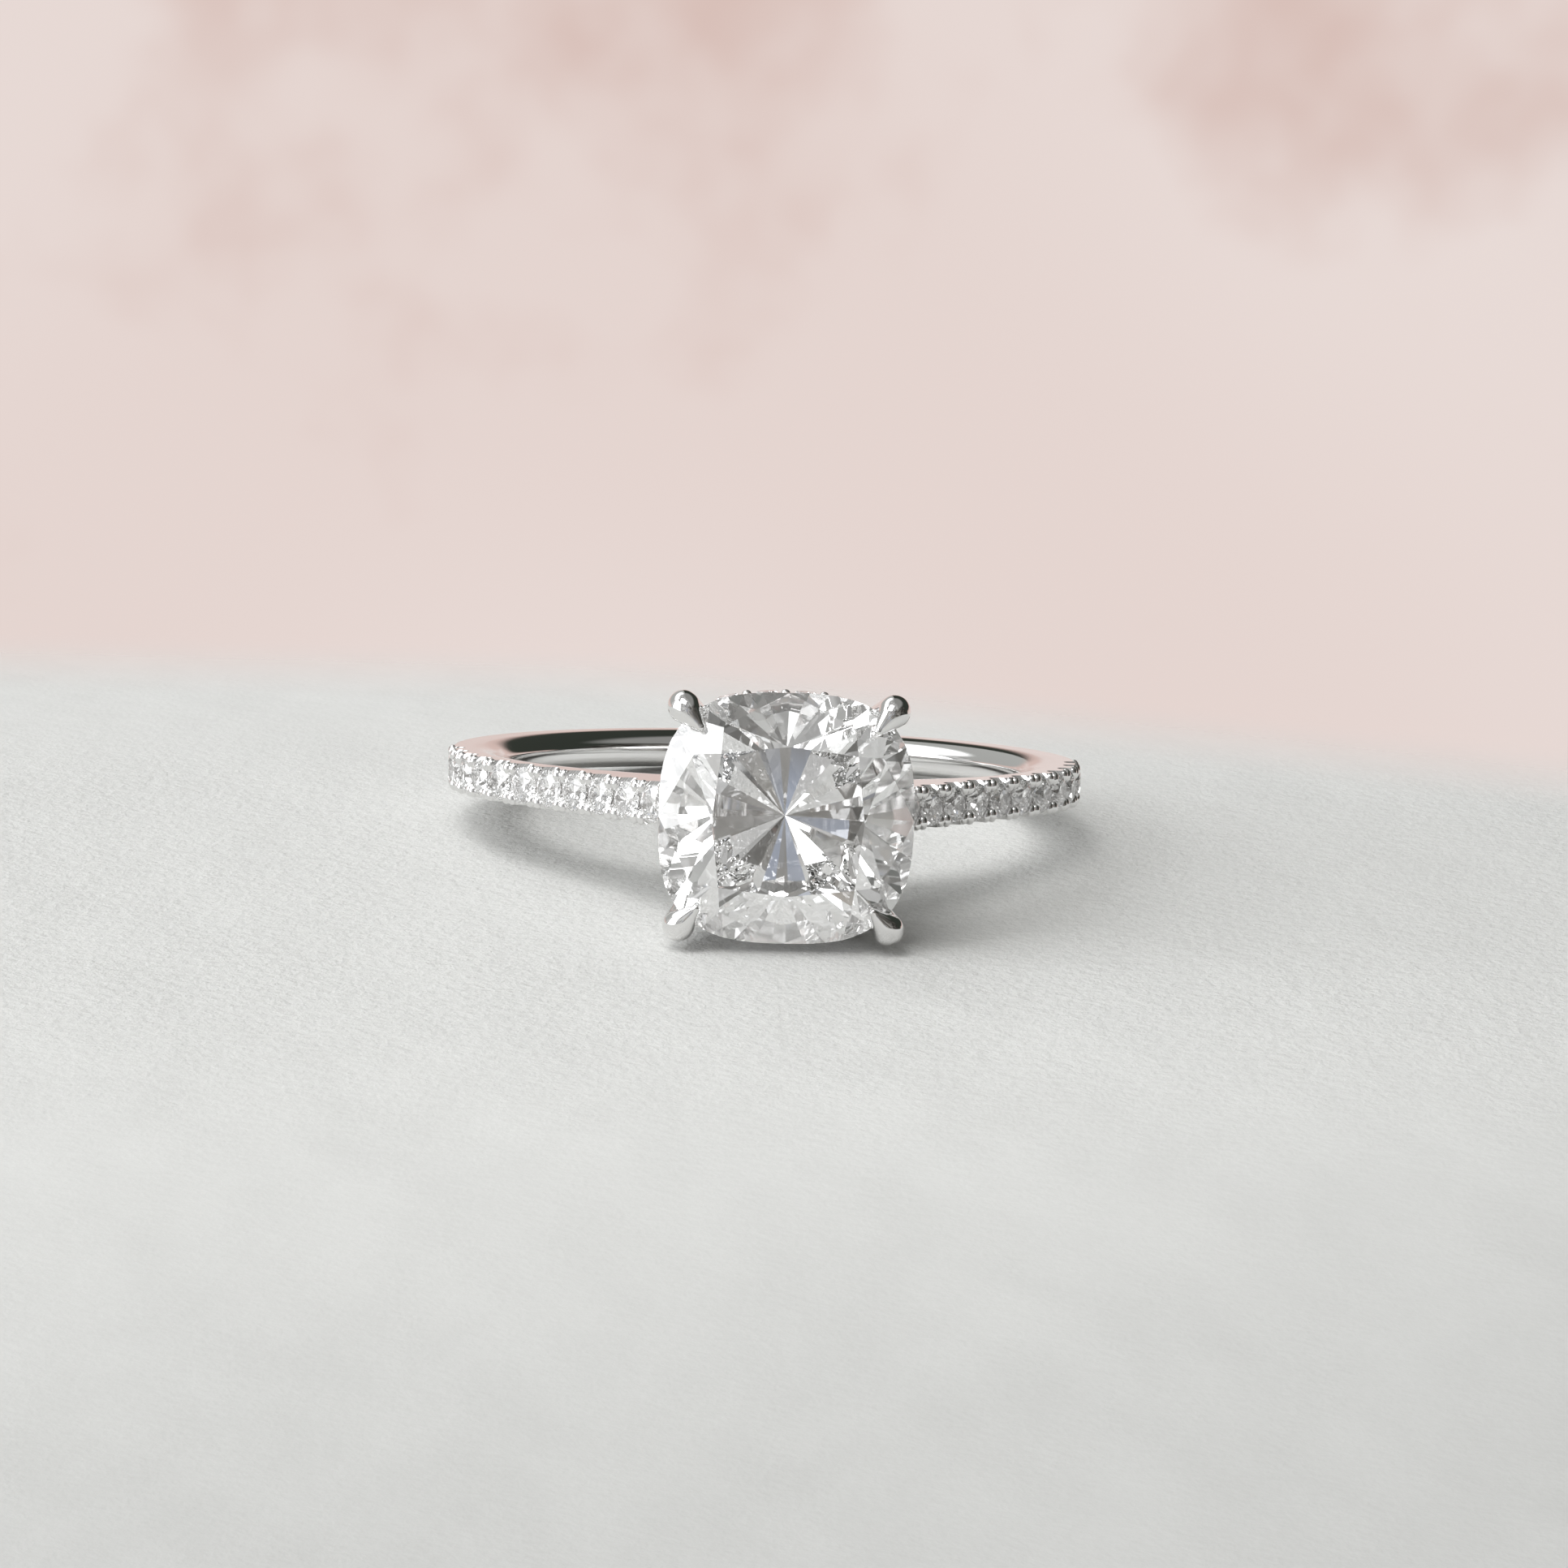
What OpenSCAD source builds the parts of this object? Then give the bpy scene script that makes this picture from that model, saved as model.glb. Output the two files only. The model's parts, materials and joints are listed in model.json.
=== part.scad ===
// Cushion-cut solitaire engagement ring: a thin pave-set band with straight
// raised shoulders, a four-claw basket, a hidden halo below the centre stone.
// Millimetres, +Z up. The ring lies on its side as it rests on a table: the
// finger axis is close to +Z and the centre stone faces -Y. The origin is on
// the table under the middle of the ring's box.

/* [Band] */
// Finger bore diameter
bore_diameter = 16.5; // [15.5:0.1:16.7]
// Radial thickness of the band
band_thickness = 1.75; // [1.7:0.05:2]
// Width of the band along the finger
band_width = 1.27; // [1.2:0.01:1.5]
// Radial depth of the rounded inner edges, for comfort
comfort_depth = 1.2; // [0.8:0.1:1.2]
// Length of the straight land left in the middle of the bore
bore_land = 0.3; // [0.3:0.05:0.6]
// Angle from the head where the shoulders leave the circle and run straight
shoulder_angle = 51.5; // [50:0.5:53]

/* [Centre stone] */
// Stone width across the finger
stone_width = 7.32; // [7.1:0.02:7.4]
// Stone length along the finger
stone_length = 7.2; // [7.1:0.02:7.4]
// Distance from the finger axis to the girdle plane
girdle_height = 14.8; // [14.7:0.05:15]
// Crown height above the girdle
crown_height = 1.02; // [0.9:0.02:1.1]
// Pavilion depth below the girdle
pavilion_depth = 3.6; // [3.5:0.05:3.65]
// Thickness of the girdle
girdle_thickness = 0.2; // [0.14:0.02:0.24]
// Squareness of the cushion outline
cushion_power = 2.9; // [2.7:0.1:3.2]

/* [Pave] */
// Diameter of each pave stone
pave_diameter = 1.12; // [1:0.02:1.14]
// Spacing of the pave stones along the band
pave_pitch = 1.25; // [1.2:0.01:1.27]
// Number of pave stones on each shoulder
pave_count = 11; // [6:1:11]
// Radius of each raised grain
grain_radius = 0.175; // [0.16:0.005:0.18]

/* [Head] */
// Half width of the hidden halo rail
rail_half = 3.4; // [3.35:0.01:3.45]
// Height of the hidden halo rail
rail_height = 1.2; // [1.1:0.05:1.3]
// Diameter of each halo stone
halo_diameter = 0.94; // [0.8:0.02:0.96]
// Radius of the claw wire
claw_radius = 0.44; // [0.4:0.01:0.46]
// Distance of each claw from the stone's axis across the finger
claw_offset = 3.08; // [3.05:0.01:3.1]

/* [Hidden] */
r_in = bore_diameter / 2;
r_out = r_in + band_thickness;
bh = band_width / 2;
hx = stone_width / 2;
hz = stone_length / 2;
crown_y = girdle_thickness / 2 + crown_height;
tri_s = sin(shoulder_angle);
tri_c = cos(shoulder_angle);
// arc length from the band's side point to where the shoulder turns straight
arc_len = (90 - shoulder_angle) * PI / 180 * r_out;
s_first = 0.1;
// the halo rail, measured below the girdle plane
rail_mid = girdle_height - 2;
rail_low = rail_mid - rail_height / 2;
rail_inner = 2.35;
halo_grain = 0.16;
// depth and reach of the lowest halo grain's centre
low_d = rail_low + 0.15;
low_z = rail_half - 0.02;
// the ring rests on that grain and on the band's rear edge
rest_tilt = atan((low_z - bh) / (low_d + r_out)) + asin(halo_grain / norm([low_z - bh, low_d + r_out]));
lift = r_out * sin(rest_tilt) + bh * cos(rest_tilt);
table_rx = 0.594 * hx;
table_rz = 0.594 * hz;
front_y = -(girdle_height + crown_y) * cos(rest_tilt) - table_rz * sin(rest_tilt);
rear_y = r_out * cos(rest_tilt) + bh * sin(rest_tilt);
y_shift = -(front_y + rear_y) / 2;
metal = [0.83, 0.83, 0.84];
gem = [0.88, 0.9, 0.93];
big = 40;

// ---------- placing ----------

// from the ring's own frame (finger axis +Z, head toward -Y) to the table
module lay() {
  translate([0, y_shift, lift]) rotate([-rest_tilt, 0, 0]) children();
}

// from the head's frame (table facing +Z, finger axis +Y) to the ring's frame
module head_frame() {
  rotate([90, 0, 0]) children();
}

// a point of the shoulder's outer surface at arc length s, side -1 or 1;
// children stand on the surface with +Z outward and +Y along the finger
function sx(s) = s < arc_len ? r_out * cos(s / r_out * 180 / PI)
                             : r_out * tri_s - (s - arc_len) * tri_c;
function sd(s) = s < arc_len ? r_out * sin(s / r_out * 180 / PI)
                             : r_out * tri_c + (s - arc_len) * tri_s;
function sa(s) = s < arc_len ? 90 - s / r_out * 180 / PI : shoulder_angle;
module on_band(s, side) {
  translate([side * sx(s), -sd(s), 0]) head_frame() rotate([0, side * sa(s), 0]) children();
}

// cushion outline of half sizes a and b
function cush(a, b, n) = [for (i = [0 : n - 1]) let (t = 360 * (i + 0.5) / n, c = cos(t), s = sin(t))
  [a * sign(c) * pow(abs(c), 2 / cushion_power), b * sign(s) * pow(abs(s), 2 / cushion_power)]];

// ---------- small stones ----------

// round stone of diameter d, girdle bottom at z = 0, table up; g grows it
module melee(d, g = 0) {
  rotate_extrude($fn = 36) polygon([[0, -0.44 * d - g], [0.5 * d + g, 0], [0.5 * d + g, 0.03 * d],
    [0.29 * d + g, 0.16 * d + g], [0, 0.16 * d + g]]);
}

pave_sink = 0.05;
function pave_s(k) = s_first + (k - 0.5) * pave_pitch;

module pave_stone(k, side) {
  color(gem) lay() on_band(pave_s(k), side) translate([0, 0, -pave_sink]) melee(pave_diameter);
}

// halo stone places: position along a side, and which side
halo_step = 1.13;
function halo_u(i) = (i - 2.5) * halo_step;
function halo_v(u) = rail_half * pow(1 - pow(abs(u) / rail_half, cushion_power), 1 / cushion_power);
function halo_turn(u) = atan2(sign(u) * pow(abs(u) / rail_half, cushion_power - 1),
  pow(halo_v(u) / rail_half, cushion_power - 1));
// children stand on the rail's outer face with +Z outward, in the head's frame
module on_rail(u, q) {
  rotate([0, 0, q * 90]) translate([halo_v(u), u, rail_mid]) rotate([0, 90, halo_turn(u)]) children();
}

module halo_stone(i, q) {
  color(gem) lay() head_frame() on_rail(halo_u(i), q) translate([0, 0, -0.06]) melee(halo_diameter);
}

// ---------- shank ----------

module profile() {
  difference() {
    union() {
      circle(r = r_out, $fn = 180);
      for (m = [-1, 1]) polygon([[0, -5], [m * r_out * tri_s, -r_out * tri_c],
        [m * (r_out * tri_s - (rail_low - r_out * tri_c) / tan(shoulder_angle)), -rail_low],
        [0, -rail_low]]);
    }
    circle(r = r_in, $fn = 180);
    translate([-2.25, -big - r_in - 1.3]) square([4.5, big]);
  }
}

// a pair of grains that share one pillar between two stones
module grain_pair() {
  for (a = [-1, 1], b = [-1, 1])
    translate([a * 0.16, b * (bh - 0.13), -0.02]) sphere(r = grain_radius, $fn = 24);
}

// the cut-down edge below each stone, a round-bottomed scallop
module scallop() {
  for (b = [-1, 1]) translate([0, b * (bh + 0.16), -0.02]) rotate([b * 38, 0, 0])
    cylinder(r = 0.36, h = 1.1, center = true, $fn = 48);
}

// what the rounded inner edge takes away above the bore's land
module comfort_edge() {
  b = bh - bore_land / 2;
  rotate_extrude($fn = 180) polygon(concat(
    [[0, bore_land / 2]],
    [for (t = [0 : 15 : 90]) [r_in + comfort_depth * (1 - cos(t)), bore_land / 2 + b * sin(t)]],
    [[r_in + comfort_depth, bh + 0.3], [0, bh + 0.3]]));
}

module shank() {
  color(metal) lay() difference() {
    union() {
      translate([0, 0, -bh]) linear_extrude(band_width) profile();
      for (side = [-1, 1], k = [0 : pave_count])
        on_band(s_first + k * pave_pitch, side) grain_pair();
    }
    for (m = [0, 1]) mirror([0, 0, m]) comfort_edge();
    for (side = [-1, 1], k = [1 : pave_count]) on_band(pave_s(k), side) {
      translate([0, 0, -pave_sink]) melee(pave_diameter, 0.01);
      translate([0, 0, -0.95]) cylinder(r = 0.22, h = 0.7, $fn = 32);
      scallop();
    }
  }
}

// ---------- head ----------

foot = [1.5, 1.25, r_in + 1.55];
knee = [2.62, 2.7, rail_mid];
girdle_pt = [claw_offset, claw_offset + 0.14, girdle_height + 0.15];
tip = [2.53, 2.59, girdle_height + 0.56];

// cone between two points, radius r1 to r2
module rod(p, q, r1, r2) {
  v = q - p;
  translate(p) rotate([0, acos(v[2] / norm(v)), atan2(v[1], v[0])])
    cylinder(r1 = r1, r2 = r2, h = norm(v), $fn = 40);
}

module claw_body() {
  rod(foot, knee, 0.34, 0.4);
  translate(knee) sphere(r = 0.425, $fn = 40);
  rod(knee, girdle_pt, 0.4, claw_radius);
  translate(girdle_pt) sphere(r = claw_radius + 0.025, $fn = 40);
  rod(girdle_pt, tip, claw_radius, 0.13);
  translate(tip) sphere(r = 0.155, $fn = 32);
}

// the half space that holds the point o, bounded by the plane through a, b, c
module keep_plane(a, b, c, o) {
  n0 = cross(b - a, c - a);
  n = (n0 * (a - o) < 0 ? 1 : -1) * n0 / norm(n0);
  translate(a) rotate([0, acos(n[2]), atan2(n[1], n[0])])
    translate([-big / 2, -big / 2, 0]) cube(big);
}

// the claw's notch: the stone's corner, bounded by its crown and pavilion mains
// and by three planes that touch the outline
module notch() {
  e = 0.006;
  o = [0.5, 0.5, 0];
  t1 = px(tc, tc, zc + e); gq = px(gc, gc, zg + e);
  c = [0, 0, -zg - pavilion_depth - e];
  e1 = px(0.985, 0.33, -zg - e); e2 = px(0.8, 0.8, -zg - e); e3 = px(0.33, 0.985, -zg - e);
  translate([0, 0, girdle_height]) intersection() {
    keep_plane(t1, [t1[0] + 1 / hz, t1[1] - 1 / hx, t1[2]], gq, o);
    keep_plane(c, e1, e2, o);
    keep_plane(c, e2, e3, o);
    for (t = [32, 45, 58]) {
      p = [(hx + e) * pow(cos(t), 2 / cushion_power), (hz + e) * pow(sin(t), 2 / cushion_power), 0];
      n = [pow(p[0] / hx, cushion_power - 1) / hx, pow(p[1] / hz, cushion_power - 1) / hz, 0];
      keep_plane(p, p + [0, 0, 1], p + [-n[1], n[0], 0], o);
    }
  }
}

// mx, mz: which quadrant of the head
module quadrant(mx, mz) {
  mirror([mx < 0 ? 1 : 0, 0, 0]) mirror([0, mz < 0 ? 1 : 0, 0]) children();
}

module claw(mx, mz) {
  color(metal) lay() head_frame() quadrant(mx, mz) difference() {
    claw_body();
    notch();
    translate([-5, -5, foot[2] - 5]) cube([10, 10, 5]);
  }
}

module gallery_base() {
  color(metal) lay() head_frame() difference() {
    translate([0, 0, r_in + 1.3]) linear_extrude(0.75) difference() {
      polygon(cush(2.02, 1.72, 48));
      polygon(cush(1.1, 0.9, 40));
    }
    for (mx = [-1, 1], mz = [-1, 1]) quadrant(mx, mz) rod(foot, knee, 0.34, 0.4);
  }
}

module halo_rail() {
  color(metal) lay() head_frame() difference() {
    union() {
      translate([0, 0, rail_low]) linear_extrude(rail_height) difference() {
        polygon(cush(rail_half, rail_half, 96));
        polygon(cush(rail_inner, rail_inner, 64));
      }
      for (q = [0 : 3], i = [1 : 3], e = [-1, 1])
        on_rail(halo_u(i) + halo_step / 2, q) translate([e * (rail_height / 2 - 0.15), 0, -0.02])
          sphere(r = halo_grain, $fn = 24);
    }
    for (q = [0 : 3], i = [1 : 4]) on_rail(halo_u(i), q) {
      translate([0, 0, -0.06]) melee(halo_diameter, 0.01);
      translate([0, 0, -0.75]) cylinder(r = 0.18, h = 0.6, $fn = 32);
    }
    for (mx = [-1, 1], mz = [-1, 1]) quadrant(mx, mz) {
      rod(foot, knee, 0.34, 0.4);
      translate(knee) sphere(r = 0.425, $fn = 40);
      rod(knee, girdle_pt, 0.4, claw_radius);
    }
  }
}

// ---------- centre stone ----------

// keeps the side of the plane through a, b, c that holds the point o
module cut_plane(a, b, c, o) {
  n0 = cross(b - a, c - a);
  n = (n0 * (a - o) < 0 ? -1 : 1) * n0 / norm(n0);
  translate(a) rotate([0, acos(n[2]), atan2(n[1], n[0])])
    translate([-big / 2, -big / 2, 0]) cube(big);
}

// key points of one quadrant, in the head's frame, girdle plane at z = 0
zg = girdle_thickness / 2;
zc = zg + crown_height;
tc = 0.53;   // table corner, share of half size
sv = [0.752, 0.492];
gc = 0.787;
function px(a, b, z) = [a * hx, b * hz, z];

// everything outside the crown and pavilion facets of the first quadrant
module facet_cuts(g) {
  o = [0.5, 0.5, 0];
  t0 = px(0.594, 0, zc + g); t1 = px(tc, tc, zc + g); t2 = px(0, 0.594, zc + g);
  s1 = px(sv[0], sv[1], zg + 0.61 * crown_height + g); s2 = px(sv[1], sv[0], zg + 0.61 * crown_height + g);
  g0 = px(1, 0, zg + g); g2 = px(0, 1, zg + g); gq = px(gc, gc, zg + g);
  m1 = px(0.957, 0.47, zg + 0.02 + g); m2 = px(0.47, 0.957, zg + 0.02 + g);
  // crown: main facets, stars, girdle facets
  cut_plane(t0, [t0[0], 1, t0[2]], g0, o);
  cut_plane(t2, [1, t2[1], t2[2]], g2, o);
  cut_plane(t1, [t1[0] + 1 / hz, t1[1] - 1 / hx, t1[2]], gq, o);
  cut_plane(t0, t1, s1, o);
  cut_plane(t1, t2, s2, o);
  cut_plane(s1, g0, m1, o);
  cut_plane(s1, m1, gq, o);
  cut_plane(s2, m2, gq, o);
  cut_plane(s2, g2, m2, o);
  // pavilion: sixteen mains around the culet, four in each quadrant
  c = [0, 0, -zg - pavilion_depth - g];
  e0 = px(1.0, 0, -zg - g); e1 = px(0.985, 0.33, -zg - g); e2 = px(0.8, 0.8, -zg - g);
  e3 = px(0.33, 0.985, -zg - g); e4 = px(0, 1.0, -zg - g);
  cut_plane(c, e0, e1, o);
  cut_plane(c, e1, e2, o);
  cut_plane(c, e2, e3, o);
  cut_plane(c, e3, e4, o);
  // lower girdle facets
  k0 = c + 0.66 * (e0 - c); k1 = c + 0.6 * (e1 - c); k2 = c + 0.62 * (e2 - c);
  k3 = c + 0.6 * (e3 - c); k4 = c + 0.66 * (e4 - c);
  f01 = px(0.972, 0.3, -zg + 0.05 - g); f23 = px(0.3, 0.972, -zg + 0.05 - g);
  f1 = px(0.9, 0.6, -zg + 0.05 - g); f2 = px(0.6, 0.9, -zg + 0.05 - g);
  fq = px(0.775, 0.775, -zg + 0.05 - g);
  cut_plane(k0, f01, px(0.985, 0, -zg + 0.02 - g), o);
  cut_plane(k4, f23, px(0, 0.985, -zg + 0.02 - g), o);
  cut_plane(k1, f01, f1, o);
  cut_plane(k3, f23, f2, o);
  cut_plane(k2, f1, fq, o);
  cut_plane(k2, f2, fq, o);
}

module stone_body(g = 0) {
  translate([0, 0, girdle_height]) difference() {
    translate([0, 0, -zg - pavilion_depth - 0.1]) linear_extrude(zc + zg + pavilion_depth + 0.1 + g)
      polygon(cush(hx + g, hz + g, 96));
    for (mx = [-1, 1], mz = [-1, 1]) quadrant(mx, mz) facet_cuts(g);
  }
}

module centre_stone() {
  color(gem) lay() head_frame() stone_body();
}

shank();
gallery_base();
halo_rail();
claw(-1, 1);  // claw_upper_left
claw(1, 1);  // claw_upper_right
claw(-1, -1);  // claw_lower_left
claw(1, -1);  // claw_lower_right
centre_stone();
for (k = [1 : pave_count]) {
  pave_stone(k, -1);
  pave_stone(k, 1);
}
for (q = [0 : 3], i = [1 : 4])
  halo_stone(i, q);
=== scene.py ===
import json
import math
import random

import bmesh
import bpy
from mathutils import Matrix, Vector

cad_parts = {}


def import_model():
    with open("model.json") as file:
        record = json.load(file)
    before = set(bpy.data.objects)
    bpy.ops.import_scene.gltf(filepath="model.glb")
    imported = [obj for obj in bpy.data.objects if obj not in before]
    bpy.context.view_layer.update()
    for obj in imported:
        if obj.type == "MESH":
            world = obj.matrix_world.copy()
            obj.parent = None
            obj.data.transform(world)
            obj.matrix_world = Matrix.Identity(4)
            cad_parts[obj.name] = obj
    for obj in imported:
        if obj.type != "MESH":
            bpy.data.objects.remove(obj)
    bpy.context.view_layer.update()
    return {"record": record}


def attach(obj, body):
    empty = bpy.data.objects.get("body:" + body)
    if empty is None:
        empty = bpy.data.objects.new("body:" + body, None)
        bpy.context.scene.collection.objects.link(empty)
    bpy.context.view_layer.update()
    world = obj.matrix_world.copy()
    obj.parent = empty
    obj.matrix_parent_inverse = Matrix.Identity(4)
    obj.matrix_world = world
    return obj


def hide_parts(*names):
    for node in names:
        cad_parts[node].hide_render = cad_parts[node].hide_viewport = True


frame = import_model()
rng = random.Random(11)

# ------------------------------------------------------------------ sizes, mm
R_IN, R_OUT, BH = 8.25, 10.0, 0.635
TH_S = math.radians(51.5)
HX, HZ, GIRDLE_H = 3.66, 3.6, 14.8
CROWN, PAV, GTH = 1.02, 3.6, 0.2
POW = 2.9
PAVE_D, PITCH, COUNT, S0, SINK = 1.12, 1.25, 11, 0.1, 0.05
RAIL_HALF, RAIL_H, RAIL_INNER = 3.4, 1.2, 2.35
RAIL_MID = GIRDLE_H - 2.0
RAIL_LOW = RAIL_MID - RAIL_H / 2
HALO_D, HALO_STEP = 0.94, 1.13
LOW_D, LOW_Z, LOW_R = RAIL_LOW + 0.15, RAIL_HALF - 0.02, 0.16

_a, _b = LOW_D + R_OUT, LOW_Z - BH
TILT = math.atan2(_b, _a) + math.asin(LOW_R / math.hypot(_a, _b))
LIFT = R_OUT * math.sin(TILT) + BH * math.cos(TILT)
bore = frame["record"]["mounts"][0]["pos_m"]
YS = bore[1] * 1000

MM = Matrix.Scale(0.001, 4)
LAY = Matrix.Translation((0, YS, LIFT)) @ Matrix.Rotation(-TILT, 4, "X")
HEAD = Matrix.Rotation(math.pi / 2, 4, "X")


def sx(s):
    L = (math.pi / 2 - TH_S) * R_OUT
    return R_OUT * math.cos(s / R_OUT) if s < L else R_OUT * math.sin(TH_S) - (s - L) * math.cos(TH_S)


def sd(s):
    L = (math.pi / 2 - TH_S) * R_OUT
    return R_OUT * math.sin(s / R_OUT) if s < L else R_OUT * math.cos(TH_S) + (s - L) * math.sin(TH_S)


def sa(s):
    L = (math.pi / 2 - TH_S) * R_OUT
    return math.pi / 2 - s / R_OUT if s < L else TH_S


def on_band(s, side):
    return Matrix.Translation((side * sx(s), -sd(s), 0)) @ HEAD @ Matrix.Rotation(side * sa(s), 4, "Y")


def halo_v(u):
    return RAIL_HALF * (1 - (abs(u) / RAIL_HALF) ** POW) ** (1 / POW)


def on_rail(u, q):
    v = halo_v(u)
    turn = math.atan2(math.copysign((abs(u) / RAIL_HALF) ** (POW - 1), u), (v / RAIL_HALF) ** (POW - 1))
    return (HEAD @ Matrix.Rotation(q * math.pi / 2, 4, "Z") @ Matrix.Translation((v, u, RAIL_MID))
            @ Matrix.Rotation(turn, 4, "Z") @ Matrix.Rotation(math.pi / 2, 4, "Y"))


# ------------------------------------------------------------------ mesh tools
def obj_from(bm, name, mat, smooth=None):
    """A new object from a bmesh in ring millimetres."""
    bmesh.ops.transform(bm, matrix=MM @ LAY, verts=bm.verts)
    bmesh.ops.recalc_face_normals(bm, faces=bm.faces)
    me = bpy.data.meshes.new(name)
    bm.to_mesh(me)
    bm.free()
    ob = bpy.data.objects.new(name, me)
    bpy.context.scene.collection.objects.link(ob)
    me.materials.append(mat)
    if smooth is not None:
        me.polygons.foreach_set("use_smooth", [True] * len(me.polygons))
        me.set_sharp_from_angle(angle=math.radians(smooth))
    return ob


def raw_obj(bm, name):
    bmesh.ops.recalc_face_normals(bm, faces=bm.faces)
    me = bpy.data.meshes.new(name)
    bm.to_mesh(me)
    bm.free()
    ob = bpy.data.objects.new(name, me)
    bpy.context.scene.collection.objects.link(ob)
    return ob


def cut_away(base, cutters, solver="EXACT"):
    """base minus all cutters, as a new bmesh; everything is removed afterwards."""
    for c in cutters:
        m = base.modifiers.new("cut", "BOOLEAN")
        m.operation = "DIFFERENCE"
        m.solver = solver
        m.object = c
    dg = bpy.context.evaluated_depsgraph_get()
    bm = bmesh.new()
    bm.from_mesh(base.evaluated_get(dg).to_mesh())
    base.evaluated_get(dg).to_mesh_clear()
    for o in [base] + list(cutters):
        me = o.data
        bpy.data.objects.remove(o)
        bpy.data.meshes.remove(me)
    return bm


def clip(bm, co, no):
    """Keeps the side of the plane that its normal points away from, and closes the cut."""
    g = bm.verts[:] + bm.edges[:] + bm.faces[:]
    r = bmesh.ops.bisect_plane(bm, geom=g, dist=1e-6, plane_co=co, plane_no=no, clear_outer=True)
    es = [e for e in r["geom_cut"] if isinstance(e, bmesh.types.BMEdge) and e.is_boundary]
    if len(es) > 2:
        bmesh.ops.contextual_create(bm, geom=es)


def plane(a, b, c, o):
    a, b, c, o = Vector(a), Vector(b), Vector(c), Vector(o)
    n = (b - a).cross(c - a).normalized()
    if n.dot(a - o) < 0:
        n = -n
    return a, n


def cush(a, b, n, off=0.5):
    out = []
    for i in range(n):
        t = 2 * math.pi * (i + off) / n
        c, s = math.cos(t), math.sin(t)
        out.append((a * math.copysign(abs(c) ** (2 / POW), c), b * math.copysign(abs(s) ** (2 / POW), s)))
    return out


def prism(pts, z0, z1):
    bm = bmesh.new()
    lo = [bm.verts.new((x, y, z0)) for x, y in pts]
    hi = [bm.verts.new((x, y, z1)) for x, y in pts]
    n = len(pts)
    bm.faces.new(lo[::-1])
    bm.faces.new(hi)
    for i in range(n):
        bm.faces.new((lo[i], lo[(i + 1) % n], hi[(i + 1) % n], hi[i]))
    return bm


def loft(rings, closed=False, cap=True):
    """Quads between rings of points; rings are closed loops."""
    bm = bmesh.new()
    vs = [[bm.verts.new(p) for p in r] for r in rings]
    n = len(rings[0])
    m = len(rings)
    for i in range(m if closed else m - 1):
        a, b = vs[i], vs[(i + 1) % m]
        for j in range(n):
            bm.faces.new((a[j], a[(j + 1) % n], b[(j + 1) % n], b[j]))
    if cap and not closed:
        bm.faces.new(vs[0][::-1])
        bm.faces.new(vs[-1])
    return bm


def merge(dst, src, mat=None):
    """Adds the bmesh src to dst, through mat."""
    if mat is not None:
        bmesh.ops.transform(src, matrix=mat, verts=src.verts)
    me = bpy.data.meshes.new("tmp")
    src.to_mesh(me)
    src.free()
    dst.from_mesh(me)
    bpy.data.meshes.remove(me)


def ball(r, squash=1.0, sub=3):
    bm = bmesh.new()
    bmesh.ops.create_icosphere(bm, subdivisions=sub, radius=r)
    bmesh.ops.transform(bm, matrix=Matrix.Diagonal((1, 1, squash, 1)), verts=bm.verts)
    return bm


def revolve(prof, n=48):
    """Closed solid of revolution about z; prof is (r, z) from the lower pole to the upper."""
    bm = bmesh.new()
    rows = []
    for r, z in prof:
        if r < 1e-9:
            rows.append([bm.verts.new((0, 0, z))])
        else:
            rows.append([bm.verts.new((r * math.cos(2 * math.pi * i / n), r * math.sin(2 * math.pi * i / n), z))
                         for i in range(n)])
    for a, b in zip(rows, rows[1:]):
        for i in range(n):
            j = (i + 1) % n
            if len(a) == 1:
                bm.faces.new((a[0], b[j], b[i]))
            elif len(b) == 1:
                bm.faces.new((a[i], a[j], b[0]))
            else:
                bm.faces.new((a[i], a[j], b[j], b[i]))
    return bm


# ------------------------------------------------------------------ materials
def node(nt, kind, **kw):
    n = nt.nodes.new(kind)
    for k, v in kw.items():
        setattr(n, k, v)
    return n


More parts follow.
